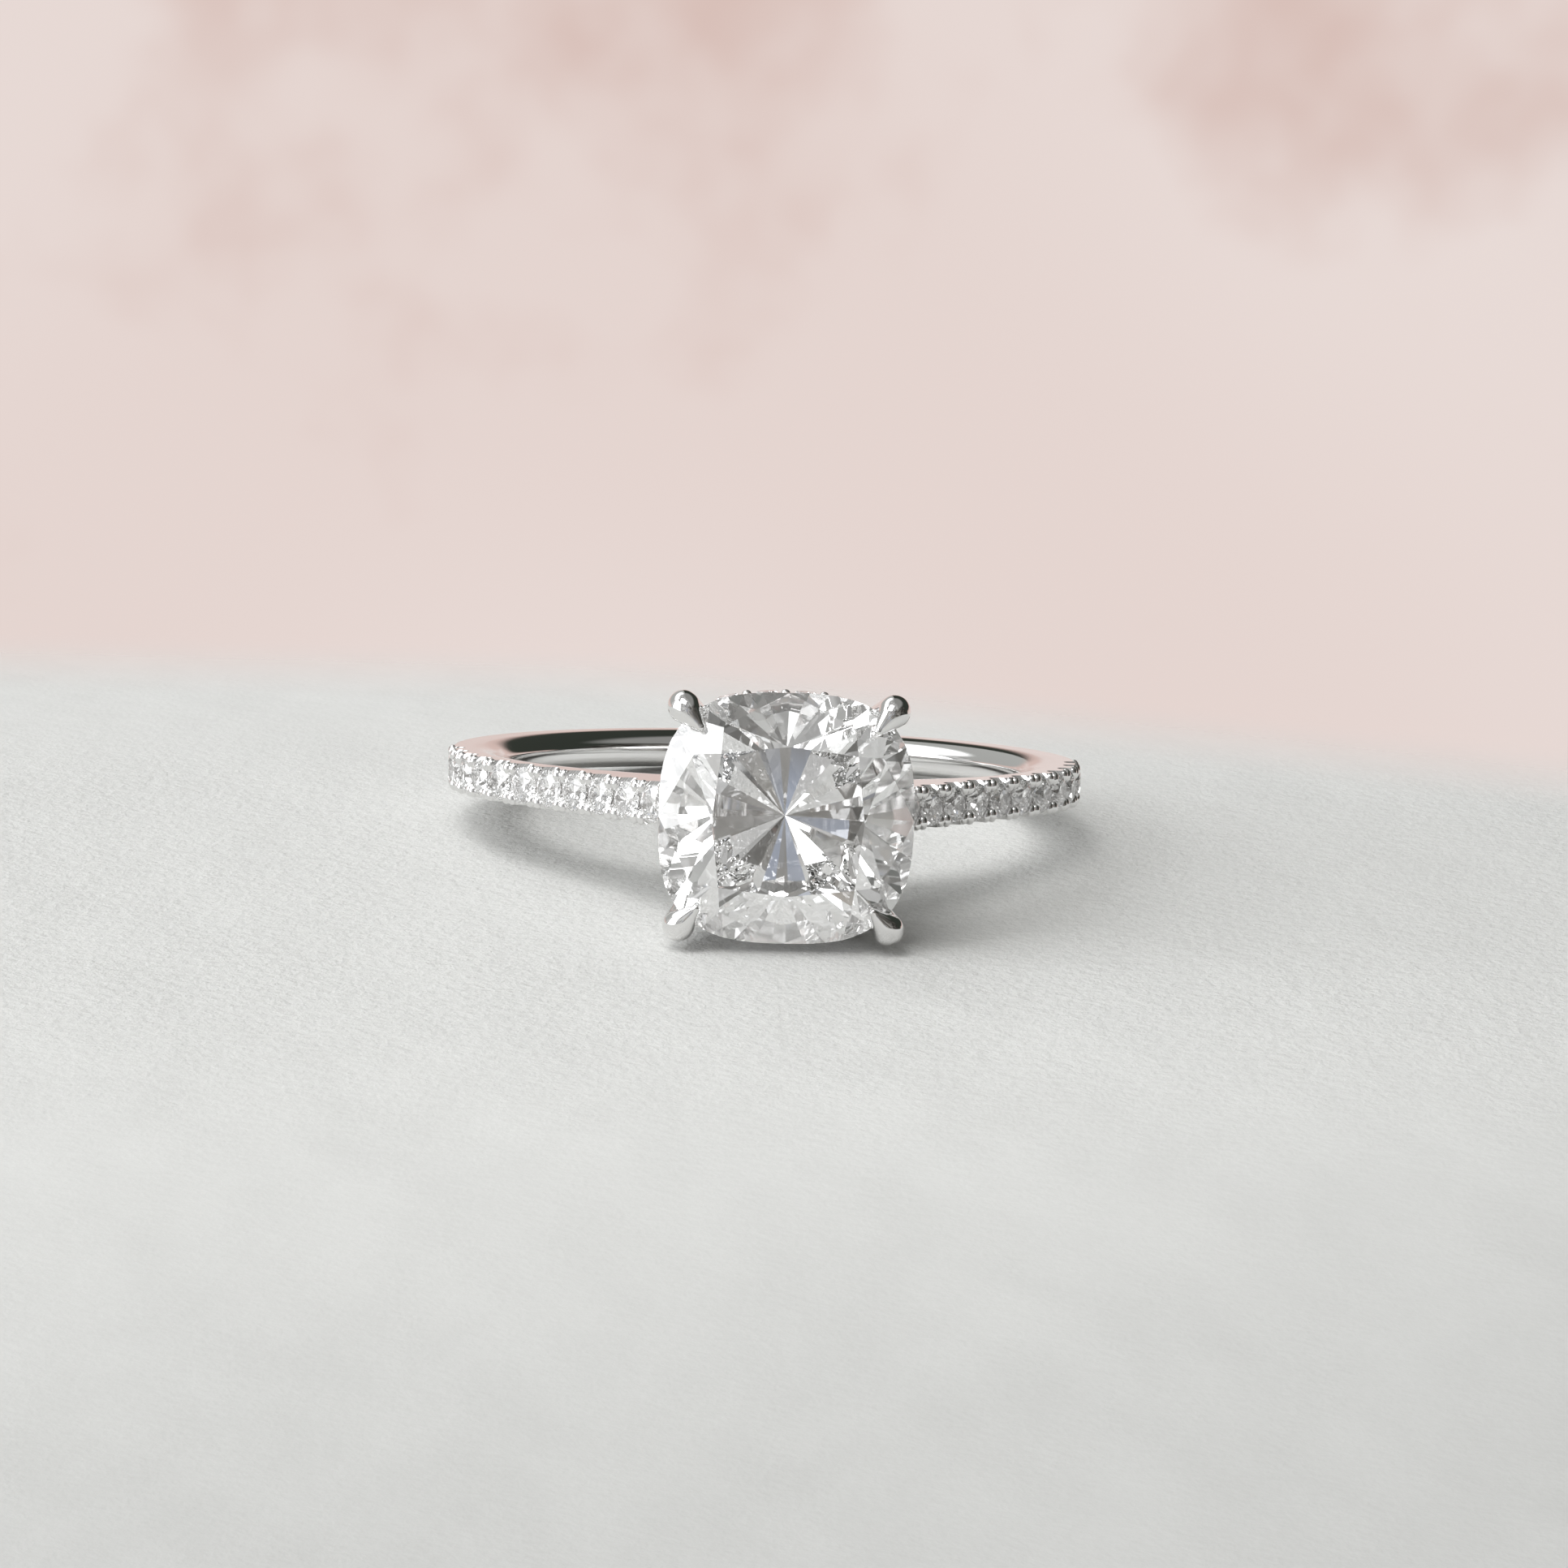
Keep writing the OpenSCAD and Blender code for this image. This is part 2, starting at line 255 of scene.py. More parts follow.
def metal_material(name, color, rough_lo, rough_hi, scratch=0.03, tint=0.03):
    m = bpy.data.materials.new(name)
    m.use_nodes = True
    nt = m.node_tree
    p = nt.nodes["Principled BSDF"]
    p.inputs["Metallic"].default_value = 1.0
    p.inputs["IOR"].default_value = 2.0
    tc = node(nt, "ShaderNodeTexCoord")
    # cloudy polish: slow changes of roughness
    n1 = node(nt, "ShaderNodeTexNoise")
    n1.inputs["Scale"].default_value = 900
    n1.inputs["Detail"].default_value = 4
    # fine scratches, drawn out along one way
    mp = node(nt, "ShaderNodeMapping")
    mp.inputs["Scale"].default_value = (1, 7, 1)
    mp.inputs["Rotation"].default_value = (0.3, 0.2, 0.5)
    n2 = node(nt, "ShaderNodeTexNoise")
    n2.inputs["Scale"].default_value = 5000
    n2.inputs["Detail"].default_value = 6
    n2.inputs["Roughness"].default_value = 0.65
    nt.links.new(tc.outputs["Object"], n1.inputs["Vector"])
    nt.links.new(tc.outputs["Object"], mp.inputs["Vector"])
    nt.links.new(mp.outputs["Vector"], n2.inputs["Vector"])
    mr = node(nt, "ShaderNodeMapRange")
    mr.inputs["From Min"].default_value = 0.35
    mr.inputs["From Max"].default_value = 0.7
    mr.inputs["To Min"].default_value = rough_lo
    mr.inputs["To Max"].default_value = rough_hi
    nt.links.new(n1.outputs["Fac"], mr.inputs["Value"])
    nt.links.new(mr.outputs["Result"], p.inputs["Roughness"])
    bp = node(nt, "ShaderNodeBump")
    bp.inputs["Strength"].default_value = scratch
    bp.inputs["Distance"].default_value = 0.00002
    nt.links.new(n2.outputs["Fac"], bp.inputs["Height"])
    nt.links.new(bp.outputs["Normal"], p.inputs["Normal"])
    cr = node(nt, "ShaderNodeMix", data_type="RGBA")
    cr.inputs["A"].default_value = (*color, 1)
    cr.inputs["B"].default_value = (*[c * (1 - tint) for c in color], 1)
    nt.links.new(n2.outputs["Fac"], cr.inputs["Factor"])
    nt.links.new(cr.outputs["Result"], p.inputs["Base Color"])
    return m


def gem_material(name, color, ior=2.417, rough=0.0):
    m = bpy.data.materials.new(name)
    m.use_nodes = True
    nt = m.node_tree
    p = nt.nodes["Principled BSDF"]
    p.inputs["Base Color"].default_value = (*color, 1)
    p.inputs["IOR"].default_value = ior
    p.inputs["Transmission Weight"].default_value = 1.0
    tc = node(nt, "ShaderNodeTexCoord")
    n1 = node(nt, "ShaderNodeTexNoise")
    n1.inputs["Scale"].default_value = 2500
    n1.inputs["Detail"].default_value = 3
    nt.links.new(tc.outputs["Object"], n1.inputs["Vector"])
    mr = node(nt, "ShaderNodeMapRange")
    mr.inputs["From Min"].default_value = 0.45
    mr.inputs["From Max"].default_value = 0.8
    mr.inputs["To Min"].default_value = 0.0
    mr.inputs["To Max"].default_value = rough
    nt.links.new(n1.outputs["Fac"], mr.inputs["Value"])
    nt.links.new(mr.outputs["Result"], p.inputs["Roughness"])
    return m


MAT_METAL = metal_material("white_metal", (0.86, 0.855, 0.85), 0.035, 0.09)
MAT_PAVE_METAL = metal_material("white_metal_pave", (0.86, 0.855, 0.85), 0.07, 0.16, scratch=0.06)
MAT_GEM = gem_material("centre_gem", (0.99, 0.99, 0.99))
MAT_MELEE = gem_material("small_gem", (0.985, 0.985, 0.985))


# ------------------------------------------------------------------ stones
def melee(d):
    """A round brilliant with 57 facets; girdle bottom at z = 0."""
    r = d / 2
    g = 0.03 * d
    rt = 0.57 * r
    ca = math.radians(34.5)
    pa = math.radians(40.8)
    hc = (r - rt) * math.tan(ca)
    hp = r * math.tan(pa)
    n = 32
    bm = prism([(r * math.cos(2 * math.pi * (i + 0.5) / n), r * math.sin(2 * math.pi * (i + 0.5) / n))
                for i in range(n)], -hp, g + hc)
    for i in range(8):
        a = math.pi / 4 * i
        dx, dy = math.cos(a), math.sin(a)
        # bezel
        no = Vector((math.sin(ca) * dx, math.sin(ca) * dy, math.cos(ca)))
        clip(bm, Vector((r * dx, r * dy, g)), no)
        # pavilion main
        no = Vector((math.sin(pa) * dx, math.sin(pa) * dy, -math.cos(pa)))
        clip(bm, Vector((0, 0, -hp)), no)
        # star
        b = a + math.pi / 8
        p0 = Vector((rt * math.cos(a), rt * math.sin(a), g + hc))
        p1 = Vector((rt * math.cos(a + math.pi / 4), rt * math.sin(a + math.pi / 4), g + hc))
        st = math.radians(21)
        no = Vector((math.sin(st) * math.cos(b), math.sin(st) * math.sin(b), math.cos(st)))
        clip(bm, (p0 + p1) / 2, no)
    for i in range(16):
        a = math.pi / 8 * (i + 0.5)
        for slope, z, up in ((40.0, g, 1), (41.7, 0, -1)):
            s = math.radians(slope)
            no = Vector((math.sin(s) * math.cos(a), math.sin(s) * math.sin(a), up * math.cos(s)))
            clip(bm, Vector((r * math.cos(a), r * math.sin(a), z)), no)
    return bm


def centre_stone():
    n = 128
    zg = GTH / 2
    zc = zg + CROWN
    bm = prism(cush(HX, HZ, n), -zg - PAV - 0.1, zc)
    tc, gc = 0.53, 0.787
    sv = (0.752, 0.492)

    def px(a, b, z):
        return Vector((a * HX, b * HZ, z))
    for mx in (1, -1):
        for mz in (1, -1):
            def P(v):
                return Vector((v[0] * mx, v[1] * mz, v[2]))
            o = P((0.5, 0.5, 0))
            t0, t1, t2 = px(0.594, 0, zc), px(tc, tc, zc), px(0, 0.594, zc)
            hs = zg + 0.61 * CROWN
            s1, s2 = px(sv[0], sv[1], hs), px(sv[1], sv[0], hs)
            g0, g2, gq = px(1, 0, zg), px(0, 1, zg), px(gc, gc, zg)
            m1, m2 = px(0.957, 0.47, zg + 0.02), px(0.47, 0.957, zg + 0.02)
            c = Vector((0, 0, -zg - PAV))
            e0, e1, e2 = px(1.0, 0, -zg), px(0.985, 0.33, -zg), px(0.8, 0.8, -zg)
            e3, e4 = px(0.33, 0.985, -zg), px(0, 1.0, -zg)
            k0, k1, k2, k3, k4 = [c + q * (e - c) for q, e in zip((0.66, 0.6, 0.62, 0.6, 0.66), (e0, e1, e2, e3, e4))]
            f01, f23 = px(0.972, 0.3, -zg + 0.05), px(0.3, 0.972, -zg + 0.05)
            f1, f2 = px(0.9, 0.6, -zg + 0.05), px(0.6, 0.9, -zg + 0.05)
            fq = px(0.775, 0.775, -zg + 0.05)
            cuts = [
                (t0, Vector((t0[0], 1, t0[2])), g0), (t2, Vector((1, t2[1], t2[2])), g2),
                (t1, Vector((t1[0] + 1 / HZ, t1[1] - 1 / HX, t1[2])), gq),
                (t0, t1, s1), (t1, t2, s2), (s1, g0, m1), (s1, m1, gq), (s2, m2, gq), (s2, g2, m2),
                (c, e0, e1), (c, e1, e2), (c, e2, e3), (c, e3, e4),
                (k0, f01, px(0.985, 0, -zg + 0.02)), (k4, f23, px(0, 0.985, -zg + 0.02)),
                (k1, f01, f1), (k3, f23, f2), (k2, f1, fq), (k2, f2, fq),
            ]
            for a, b, d in cuts:
                co, no = plane(P(a), P(b), P(d), o)
                clip(bm, co, no)
    bmesh.ops.remove_doubles(bm, verts=bm.verts, dist=1e-5)
    bmesh.ops.transform(bm, matrix=HEAD @ Matrix.Translation((0, 0, GIRDLE_H)), verts=bm.verts)
    return bm


def done(ob, nodes):
    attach(ob, "root")
    if nodes:
        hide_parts(*nodes)
    return ob


stone = done(obj_from(centre_stone(), "centre_stone_cut", MAT_GEM), ["centre_stone"])

proto = melee(PAVE_D)
for side, tag in ((-1, "left"), (1, "right")):
    for k in range(1, COUNT + 1):
        bm = proto.copy()
        wob = (Matrix.Rotation(math.radians(rng.uniform(-3, 3)), 4, "X") @ Matrix.Rotation(math.radians(rng.uniform(-3, 3)), 4, "Y")
               @ Matrix.Rotation(rng.uniform(0, math.pi / 4), 4, "Z"))
        bmesh.ops.transform(bm, matrix=on_band(S0 + (k - 0.5) * PITCH, side) @ Matrix.Translation((0, 0, -SINK)) @ wob,
                            verts=bm.verts)
        done(obj_from(bm, f"pave_brilliant_{tag}_{k}", MAT_MELEE), [f"pave_{tag}_{k}"])
proto.free()

proto = melee(HALO_D)
for q in range(4):
    for i in range(1, 5):
        bm = proto.copy()
        wob = (Matrix.Rotation(math.radians(rng.uniform(-3, 3)), 4, "X") @ Matrix.Rotation(math.radians(rng.uniform(-3, 3)), 4, "Y")
               @ Matrix.Rotation(rng.uniform(0, math.pi / 4), 4, "Z"))
        bmesh.ops.transform(bm, matrix=on_rail((i - 2.5) * HALO_STEP, q) @ Matrix.Translation((0, 0, -0.06)) @ wob,
                            verts=bm.verts)
        done(obj_from(bm, f"halo_brilliant_{q * 4 + i}", MAT_MELEE), [f"halo_{q * 4 + i}"])
proto.free()


# ------------------------------------------------------------------ shank
COMFORT, LAND = 1.2, 0.3


def band_section(ro, fo=0.05):
    """Section loop in (r, z): small outer corners, long rounded inner edges, a land between them."""
    up = []
    for i in range(6):
        a = math.radians(18 * i)
        up.append((ro - fo + fo * math.cos(a), BH - fo + fo * math.sin(a)))
    for i in range(17):
        t = math.radians(90 - 90 * i / 16)
        up.append((R_IN + COMFORT * (1 - math.cos(t)), LAND / 2 + (BH - LAND / 2) * math.sin(t)))
    return up + [(r, -z) for r, z in reversed(up)]


def shank():
    top_x = R_OUT * math.sin(TH_S) - (RAIL_LOW - R_OUT * math.cos(TH_S)) / math.tan(TH_S)
    th_t = math.atan2(top_x, RAIL_LOW)
    angs = [math.radians(0.75 * i) for i in range(-240, 240)]
    angs = [a for a in angs if abs(abs(a) - th_t) > math.radians(0.3)] + [th_t, -th_t]
    angs.sort()
    rings = []
    for a in angs:
        t = abs(a)
        if t < th_t:
            ro = RAIL_LOW / math.cos(t)
        elif t < TH_S:
            ro = R_OUT / math.cos(TH_S - t)
        else:
            ro = R_OUT
        rings.append([(r * math.sin(a), -r * math.cos(a), z) for r, z in band_section(ro)])
    base = raw_obj(loft(rings, closed=True), "shank_base")
    cutters = []
    bm = prism([(-2.25, -20), (2.25, -20), (2.25, -R_IN - 1.3), (-2.25, -R_IN - 1.3)], -5, 5)
    cutters.append(raw_obj(bm, "c_notch"))
    g = 0.01
    d = PAVE_D
    for side in (-1, 1):
        for k in range(1, COUNT + 1):
            m = on_band(S0 + (k - 0.5) * PITCH, side)
            bm = revolve([(0, -1.3), (0.2, -1.3), (0.2, -0.35 * d - SINK), (0.5 * d + g, -SINK), (0.5 * d + g, 0.8), (0, 0.8)], 64)
            bmesh.ops.transform(bm, matrix=m, verts=bm.verts)
            cutters.append(raw_obj(bm, "c_seat"))
            for b in (-1, 1):
                bm = revolve([(0, -0.55), (0.36, -0.55), (0.36, 0.55), (0, 0.55)], 48)
                mm = m @ Matrix.Translation((0, b * (BH + 0.16), -0.02)) @ Matrix.Rotation(math.radians(b * 38), 4, "X")
                bmesh.ops.transform(bm, matrix=mm, verts=bm.verts)
                cutters.append(raw_obj(bm, "c_scallop"))
        for k in range(COUNT + 1):
            bm = revolve([(0, -0.24), (0.42, -0.24), (0.42, 0.24), (0, 0.24)], 48)
            mm = on_band(S0 + k * PITCH, side) @ Matrix.Translation((0, 0, 0.3)) @ Matrix.Rotation(math.pi / 2, 4, "Y")
            bmesh.ops.transform(bm, matrix=mm, verts=bm.verts)
            cutters.append(raw_obj(bm, "c_groove"))
    return cut_away(base, cutters)


band = obj_from(shank(), "band", MAT_METAL, smooth=28)
# the flat sides stay flat up to the scallops
side_up = (LAY.to_3x3() @ Vector((0, 0, 1))).normalized()
for face in band.data.polygons:
    if abs(face.normal.dot(side_up)) > 0.99995:
        face.use_smooth = False
done(band, ["shank"])

for side, tag in ((-1, "left"), (1, "right")):
    bm = bmesh.new()
    for k in range(COUNT + 1):
        m = on_band(S0 + k * PITCH, side)
        for a in (-1, 1):
            for b in (-1, 1):
                jig = (Matrix.Translation((a * 0.15 + rng.uniform(-0.015, 0.015), b * (BH - 0.185) + rng.uniform(-0.01, 0.01),
                                           rng.uniform(-0.02, 0.005)))
                       @ Matrix.Rotation(math.radians(-a * b * 12 + rng.uniform(-6, 6)), 4, "Z")
                       @ Matrix.Diagonal((1, 1.3, 1, 1)))
                merge(bm, ball(0.16 + rng.uniform(-0.012, 0.01), 0.98), m @ jig)
    done(obj_from(bm, f"pave_grains_{tag}", MAT_PAVE_METAL, smooth=60), [])


# ------------------------------------------------------------------ head
def cush_ring(a_out, b_out, a_in, b_in, z0, z1, f, n=192):
    """A rail between two cushion outlines with rounded edges."""
    out = cush(a_out, b_out, n)
    inn = cush(a_in, b_in, n)
    rings = []
    k = 5
    for (xo, yo), (xi, yi) in zip(out, inn):
        L = math.hypot(xo - xi, yo - yi)
        ux, uy = (xo - xi) / L, (yo - yi) / L
        ring = []
        for (cr, cz, a0) in ((L - f, z1 - f, 0), (f, z1 - f, 90), (f, z0 + f, 180), (L - f, z0 + f, 270)):
            for i in range(k + 1):
                a = math.radians(a0 + 90 * i / k)
                r = cr + f * math.cos(a)
                ring.append((xi + ux * r, yi + uy * r, cz + f * math.sin(a)))
        rings.append(ring)
    return loft(rings, closed=True)


def rail():
    bm = cush_ring(RAIL_HALF, RAIL_HALF, RAIL_INNER, RAIL_INNER, RAIL_LOW, RAIL_LOW + RAIL_H, 0.07)
    bmesh.ops.transform(bm, matrix=HEAD, verts=bm.verts)
    base = raw_obj(bm, "rail_base")
    cutters = []
    d, g = HALO_D, 0.01
    for q in range(4):
        for i in range(1, 5):
            bm = revolve([(0, -0.8), (0.16, -0.8), (0.16, -0.35 * d - 0.06), (0.5 * d + g, -0.06), (0.5 * d + g, 0.8), (0, 0.8)], 48)
            bmesh.ops.transform(bm, matrix=on_rail((i - 2.5) * HALO_STEP, q), verts=bm.verts)
            cutters.append(raw_obj(bm, "c_seat"))
    return cut_away(base, cutters)


done(obj_from(rail(), "hidden_halo_rail", MAT_METAL, smooth=28), ["halo_rail"])

bm = bmesh.new()
for q in range(4):
    for i in (1, 2, 3):
        u = (i - 2.0) * HALO_STEP
        for e in (-1, 1):
            m = on_rail(u, q) @ Matrix.Translation((e * (RAIL_H / 2 - 0.15), 0, -0.02))
            merge(bm, ball(0.155, 0.98), m)
done(obj_from(bm, "hidden_halo_grains", MAT_PAVE_METAL, smooth=60), [])

bm = cush_ring(2.02, 1.72, 1.1, 0.9, R_IN + 1.3, R_IN + 2.05, 0.08)
bmesh.ops.transform(bm, matrix=HEAD, verts=bm.verts)
done(obj_from(bm, "basket_base", MAT_METAL, smooth=40), ["gallery_base"])


def claw_mesh(mx, mz):
    """A tapered wire swept along a smooth path, its tip bent over the crown."""
    key = [Vector((1.5, 1.25, 9.8)), Vector((2.62, 2.7, 12.8)), Vector((3.08, 3.22, 14.95)), Vector((2.53, 2.59, 15.36))]

    # straight pieces with a filleted bend at each inner key point
    path = []

    def fillet(p, a, b, cut_a, cut_b, n):
        da, db = (a - p).normalized(), (b - p).normalized()
        s, e = p + da * cut_a, p + db * cut_b
        for i in range(n + 1):
            t = i / n
            path.append(s * (1 - t) ** 2 + p * 2 * t * (1 - t) + e * t * t)
    path.append(key[0])
    fillet(key[1], key[0], key[2], 0.8, 0.8, 10)
    fillet(key[2], key[1], key[3], 0.4, 0.4, 20)
    path.append(key[3])
    # even spacing
    dist = [0.0]
    for p, q in zip(path, path[1:]):
        dist.append(dist[-1] + (q - p).length)
    total = dist[-1]

    def at(s):
        for i in range(len(path) - 1):
            if s <= dist[i + 1] or i == len(path) - 2:
                f = (s - dist[i]) / max(1e-9, dist[i + 1] - dist[i])
                return path[i].lerp(path[i + 1], min(1, max(0, f)))
    N = 90
    tip_r = 0.125
    pts = [at(total * i / N) for i in range(N + 1)]
    s_knee, s_gird = 3.4, total - 0.8
    rings = []
    up = Vector((1, -1, 0)).normalized()
    for i, p in enumerate(pts):
        s = total * i / N
        d = (pts[min(N, i + 1)] - pts[max(0, i - 1)]).normalized()
        b = (up - d * up.dot(d)).normalized()
        c = d.cross(b)
        if s < s_knee:
            r = 0.34 + 0.06 * s / s_knee
        elif s < s_gird:
            r = 0.40 + 0.06 * (s - s_knee) / (s_gird - s_knee)
        else:
            t = (s - s_gird) / (total - s_gird)
            r = 0.46 + (tip_r - 0.46) * (t ** 1.2)
        M = 40
        rings.append([p + b * (r * math.cos(2 * math.pi * j / M)) + c * (r * math.sin(2 * math.pi * j / M)) for j in range(M)])
    # round the tip
    d = (pts[-1] - pts[-2]).normalized()
    b = (up - d * up.dot(d)).normalized()
    c = d.cross(b)
    for i in range(1, 8):
        a = math.pi / 2 * i / 7.6
        r = tip_r * math.cos(a)
        p = pts[-1] + d * (tip_r * math.sin(a))
        rings.append([p + b * (r * math.cos(2 * math.pi * j / 40)) + c * (r * math.sin(2 * math.pi * j / 40)) for j in range(40)])
    bm = loft(rings)
    m = HEAD @ Matrix.Diagonal((mx, mz, 1, 1))
    bmesh.ops.transform(bm, matrix=m, verts=bm.verts)
    if mx * mz < 0:
        bmesh.ops.reverse_faces(bm, faces=bm.faces)
    return bm, m


def notch_mesh():
    e = 0.004
    zg = GTH / 2
    zc = zg + CROWN
    bm = prism([(0, 0), (8, 0), (8, 8), (0, 8)], -6, 4)
    o = Vector((0.5, 0.5, 0))
    t1 = Vector((0.53 * HX, 0.53 * HZ, zc + e))
    gq = Vector((0.787 * HX, 0.787 * HZ, zg + e))
    c = Vector((0, 0, -zg - PAV - e))
    e1, e2, e3 = [Vector((a * HX, b * HZ, -zg - e)) for a, b in ((0.985, 0.33), (0.8, 0.8), (0.33, 0.985))]
    cuts = [(t1, Vector((t1[0] + 1 / HZ, t1[1] - 1 / HX, t1[2])), gq), (c, e1, e2), (c, e2, e3)]
    for t in (26, 35, 45, 55, 64):
        tr = math.radians(t)
        p = Vector(((HX + e) * math.cos(tr) ** (2 / POW), (HZ + e) * math.sin(tr) ** (2 / POW), 0))
        n = Vector(((p[0] / HX) ** (POW - 1) / HX, (p[1] / HZ) ** (POW - 1) / HZ, 0))
        cuts.append((p, p + Vector((0, 0, 1)), p + Vector((-n[1], n[0], 0))))
    for a, b, d in cuts:
        co, no = plane(a, b, d, o)
        clip(bm, co, no)
    bmesh.ops.transform(bm, matrix=Matrix.Translation((0, 0, GIRDLE_H)), verts=bm.verts)
    return bm


for name, mx, mz in (("upper_left", -1, 1), ("upper_right", 1, 1), ("lower_left", -1, -1), ("lower_right", 1, -1)):
    bm, m = claw_mesh(mx, mz)
    base = raw_obj(bm, "claw_base")
    cb = notch_mesh()
    bmesh.ops.transform(cb, matrix=m, verts=cb.verts)
    cutter = raw_obj(cb, "claw_notch")
    done(obj_from(cut_away(base, [cutter]), f"claw_{name}_wire", MAT_METAL, smooth=35), [f"claw_{name}"])


# ------------------------------------------------------------------ cloth surface
EDGE_AT, EDGE_SLOPE = 0.0284, 0.44


def felt():
    m = bpy.data.materials.new("pale_felt")
    m.use_nodes = True
    nt = m.node_tree
    p = nt.nodes["Principled BSDF"]
    p.inputs["Roughness"].default_value = 0.95
    p.inputs["Sheen Weight"].default_value = 0.3
    p.inputs["Sheen Roughness"].default_value = 0.5
    p.inputs["Specular IOR Level"].default_value = 0.1
    tc = node(nt, "ShaderNodeTexCoord")

    def noise(scale, detail, rough=0.5):
        n = node(nt, "ShaderNodeTexNoise")
        n.inputs["Scale"].default_value = scale
        n.inputs["Detail"].default_value = detail
        n.inputs["Roughness"].default_value = rough
        nt.links.new(tc.outputs["Object"], n.inputs["Vector"])
        return n.outputs["Fac"]
    fine, nap, slow = noise(5200, 4, 0.6), noise(2300, 3, 0.6), noise(140, 2)
    sep = node(nt, "ShaderNodeSeparateXYZ")
    nt.links.new(tc.outputs["Object"], sep.inputs["Vector"])

    def math_node(op, *vals):
        n = node(nt, "ShaderNodeMath", operation=op)
        for i, v in enumerate(vals):
            if isinstance(v, (int, float)):
                n.inputs[i].default_value = v
            else:
                nt.links.new(v, n.inputs[i])
        return n.outputs[0]

    def ramp(sock, a, b, lo=0.0, hi=1.0):
        r = node(nt, "ShaderNodeMapRange", interpolation_type="SMOOTHSTEP")
        for k, v in (("From Min", a), ("From Max", b), ("To Min", lo), ("To Max", hi)):
            r.inputs[k].default_value = v
        nt.links.new(sock, r.inputs["Value"])
        return r.outputs["Result"]
    px, py = sep.outputs["X"], sep.outputs["Y"]
    # the nap stands up near the ring and is brushed flat further out
    crisp = math_node("MULTIPLY", ramp(py, -0.034, -0.014, 0.25, 1.0), ramp(py, 0.006, 0.022, 1.0, 0.25))
    both = math_node("SUBTRACT", math_node("ADD", fine, nap), 1.0)
    fac = math_node("MULTIPLY_ADD", math_node("MULTIPLY", both, crisp), 2.0, 0.5)
    mx = node(nt, "ShaderNodeMix", data_type="RGBA")
    mx.inputs["A"].default_value = (0.635, 0.635, 0.618, 1)
    mx.inputs["B"].default_value = (0.70, 0.70, 0.682, 1)
    nt.links.new(fac, mx.inputs["Factor"])
    # painted shade: a little darker towards the front and the right, as if the padding turned down there, though the
    # surface itself is flat
    slant = math_node("MULTIPLY_ADD", px, -0.3, py)
    painted_shade_fac = math_node("MULTIPLY", ramp(slant, -0.058, -0.024, 0.83, 1.0), ramp(px, 0.0, 0.026, 1.0, 0.94))
    shade = node(nt, "ShaderNodeMix", data_type="RGBA", blend_type="MULTIPLY")
    shade.inputs["Factor"].default_value = 1.0
    nt.links.new(mx.outputs["Result"], shade.inputs["A"])
    nt.links.new(painted_shade_fac, shade.inputs["B"])
    nt.links.new(shade.outputs["Result"], p.inputs["Base Color"])
    last = None
    for sock, strength, dist in ((fine, 0.35, 0.00012), (nap, 0.4, 0.0002), (slow, 0.3, 0.001)):
        b = node(nt, "ShaderNodeBump")
        b.inputs["Strength"].default_value = strength
        b.inputs["Distance"].default_value = dist
        if sock is not slow:
            nt.links.new(math_node("MULTIPLY", crisp, strength), b.inputs["Strength"])
        nt.links.new(sock, b.inputs["Height"])
        if last:
            nt.links.new(last, b.inputs["Normal"])
        last = b.outputs["Normal"]
    nt.links.new(last, p.inputs["Normal"])
    # the far edge fades out softly: level on the left, drawing nearer on the right
    bend = math_node("SMOOTH_MAX", math_node("ADD", px, 0.004), 0.0, 0.008)
    away = math_node("MULTIPLY_ADD", bend, EDGE_SLOPE, py)
    nt.links.new(ramp(away, EDGE_AT - 0.0065, EDGE_AT + 0.0065, 1.0, 0.0), p.inputs["Alpha"])
    return m


def floor():
    """A pale padded surface; its far part is clear, see felt()."""
    prof = [(y, 0.0) for y in (-0.4, -0.2, -0.1, -0.05, -0.02, 0.0, 0.015, 0.03, 0.045)]
    bm = bmesh.new()
    cols = [-0.35, -0.1, -0.03, 0.03, 0.1, 0.35]
    vs = [[bm.verts.new((x, y, z - 0.00001)) for y, z in prof] for x in cols]
    for a, b in zip(vs, vs[1:]):
        for i in range(len(prof) - 1):
            bm.faces.new((a[i], b[i], b[i + 1], a[i + 1]))
    me = bpy.data.meshes.new("surface")
    bm.to_mesh(me)
    bm.free()
    me.polygons.foreach_set("use_smooth", [True] * len(me.polygons))
    ob = bpy.data.objects.new("surface", me)
    bpy.context.scene.collection.objects.link(ob)
    me.materials.append(felt())
    return ob


floor()


# ------------------------------------------------------------------ light
def soft_card(name, size, loc, aim, power, color=(1, 1, 1)):
    L = bpy.data.lights.new(name, "AREA")
    L.shape = "RECTANGLE"
    L.size, L.size_y = size
    L.energy = power
    L.color = color
    ob = bpy.data.objects.new(name, L)
    ob.location = loc
    ob.rotation_euler = (Vector(aim) - Vector(loc)).to_track_quat("-Z", "Y").to_euler()
    bpy.context.scene.collection.objects.link(ob)
    return ob


